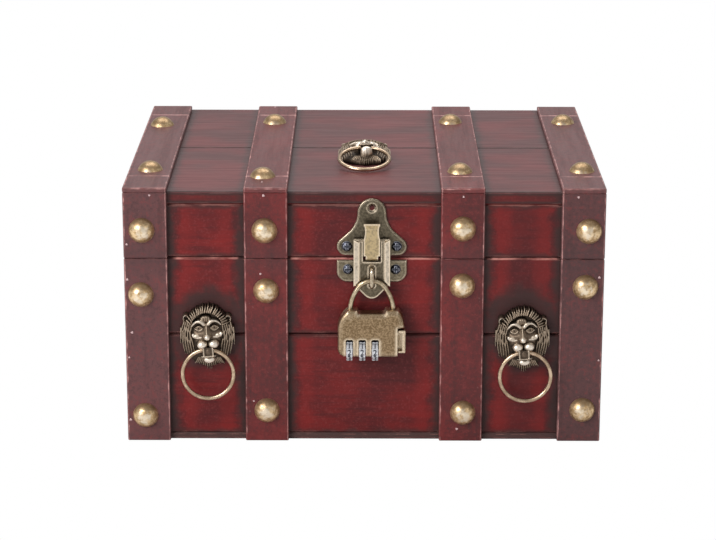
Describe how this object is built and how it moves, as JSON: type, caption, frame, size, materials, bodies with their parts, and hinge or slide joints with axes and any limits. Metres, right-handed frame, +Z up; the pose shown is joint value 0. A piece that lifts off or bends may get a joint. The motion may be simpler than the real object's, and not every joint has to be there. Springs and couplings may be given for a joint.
{
  "type": "treasure chest",
  "caption": "Strapped wooden treasure chest with domed studs, lion-mask ring pulls, a hinged lid and a hasp closed by a small combination padlock.",
  "frame": {"origin": "centre of the underside of the bottom board", "axes": "+Z up, +X to the right of a viewer facing the front, the front with the padlock faces -Y"},
  "size_m": [0.22, 0.1896, 0.1297],
  "materials": {
    "crimson_wood": "stained and varnished, dark at the edges",
    "strap_wood": "dark stain, edges rubbed pale",
    "stud_brass": "antiqued",
    "lion_bronze": "antiqued, bright where rubbed",
    "hasp_bronze": "antiqued, bright edges",
    "hinge_brass": "antiqued",
    "screw_steel": "blackened",
    "dial_metal": "satin, printed numbers",
    "padlock_brass": "antiqued, mottled",
    "pin_steel": "plain"
  },
  "bodies": {
    "box": {"back_lower_plank": "crimson_wood", "back_upper_plank": "crimson_wood", "bottom_board": "crimson_wood", "box_back_straps": "strap_wood", "box_back_studs": "stud_brass", "box_front_straps": "strap_wood", "box_front_studs": "stud_brass", "box_hinge_screws": "screw_steel", "box_side_straps": "strap_wood", "front_lower_plank": "crimson_wood", "front_mask_screws": "screw_steel", "front_upper_plank": "crimson_wood", "hasp_base_plate": "hasp_bronze", "hasp_base_screws": "screw_steel", "hinge_pins": "hinge_brass", "left_hinge_box_leaf": "hinge_brass", "left_lion_mask": "lion_bronze", "left_lower_plank": "crimson_wood", "left_upper_plank": "crimson_wood", "right_hinge_box_leaf": "hinge_brass", "right_lion_mask": "lion_bronze", "right_lower_plank": "crimson_wood", "right_upper_plank": "crimson_wood"},
    "lid": {"lid_back_rail": "crimson_wood", "lid_back_straps": "strap_wood", "lid_back_studs": "stud_brass", "lid_front_rail": "crimson_wood", "lid_front_straps": "strap_wood", "lid_front_studs": "stud_brass", "lid_hinge_screws": "screw_steel", "lid_left_rail": "crimson_wood", "lid_lion_mask": "lion_bronze", "lid_mask_screw": "screw_steel", "lid_right_rail": "crimson_wood", "lid_side_straps": "strap_wood", "lid_top_back_plank": "crimson_wood", "lid_top_front_plank": "crimson_wood", "lid_top_straps": "strap_wood", "lid_top_studs": "stud_brass", "hasp_hook_plate": "hasp_bronze", "hasp_hook_screws": "screw_steel", "left_hinge_lid_leaf": "hinge_brass", "right_hinge_lid_leaf": "hinge_brass"},
    "hasp": {"hasp_strap": "hasp_bronze", "hasp_staple": "hasp_bronze"},
    "shackle": {"padlock_shackle": "padlock_brass"},
    "lock_case": {"padlock_case": "padlock_brass", "shackle_pin": "pin_steel", "dial_spindle": "pin_steel"},
    "release_slide": {"release_slide": "padlock_brass"},
    "left_dial": {"left_dial": "dial_metal"},
    "middle_dial": {"middle_dial": "dial_metal"},
    "right_dial": {"right_dial": "dial_metal"},
    "left_ring": {"left_ring": "lion_bronze"},
    "right_ring": {"right_ring": "lion_bronze"},
    "lid_ring": {"lid_ring": "lion_bronze"}
  },
  "joints": [
    {"name": "lid_hinge", "type": "hinge", "parent": "box", "child": "lid", "pos_m": [0, 0.0883, 0.08815], "axis": [-1, 0, 0], "range_deg": [0, 105]},
    {"name": "hasp_swing", "type": "hinge", "parent": "lid", "child": "hasp", "pos_m": [0.0035, -0.0883, 0.0972], "axis": [-1, 0, 0], "range_deg": [0, 90]},
    {"name": "padlock_swing", "type": "hinge", "parent": "hasp", "child": "shackle", "pos_m": [0.0035, -0.091, 0.0786], "axis": [-1, 0, 0], "range_deg": [0, 80]},
    {"name": "padlock_open", "type": "hinge", "parent": "shackle", "child": "lock_case", "pos_m": [-0.0063, -0.091, 0.0624], "axis": [0, 1, 0], "range_deg": [0, 30]},
    {"name": "left_ring_swing", "type": "hinge", "parent": "box", "child": "left_ring", "pos_m": [-0.0722, -0.0921, 0.0454], "axis": [-1, 0, 0], "range_deg": [0, 100]},
    {"name": "right_ring_swing", "type": "hinge", "parent": "box", "child": "right_ring", "pos_m": [0.073, -0.0921, 0.0444], "axis": [-1, 0, 0], "range_deg": [0, 100]},
    {"name": "lid_ring_swing", "type": "hinge", "parent": "lid", "child": "lid_ring", "pos_m": [0, -0.0257, 0.1257], "axis": [-1, 0, 0], "range_deg": [0, 100]},
    {"name": "release_press", "type": "slide", "parent": "lock_case", "child": "release_slide", "axis": [0, 0, -1], "range_m": [0, 0.0016], "stiffness_N_per_m": 300},
    {"name": "left_dial_turn", "type": "hinge", "parent": "lock_case", "child": "left_dial", "pos_m": [-0.0067, -0.0924, 0.0461], "axis": [-1, 0, 0], "continuous": true},
    {"name": "middle_dial_turn", "type": "hinge", "parent": "lock_case", "child": "middle_dial", "pos_m": [-0.0008, -0.0924, 0.0461], "axis": [-1, 0, 0], "continuous": true},
    {"name": "right_dial_turn", "type": "hinge", "parent": "lock_case", "child": "right_dial", "pos_m": [0.0051, -0.0924, 0.0461], "axis": [-1, 0, 0], "continuous": true}
  ]
}
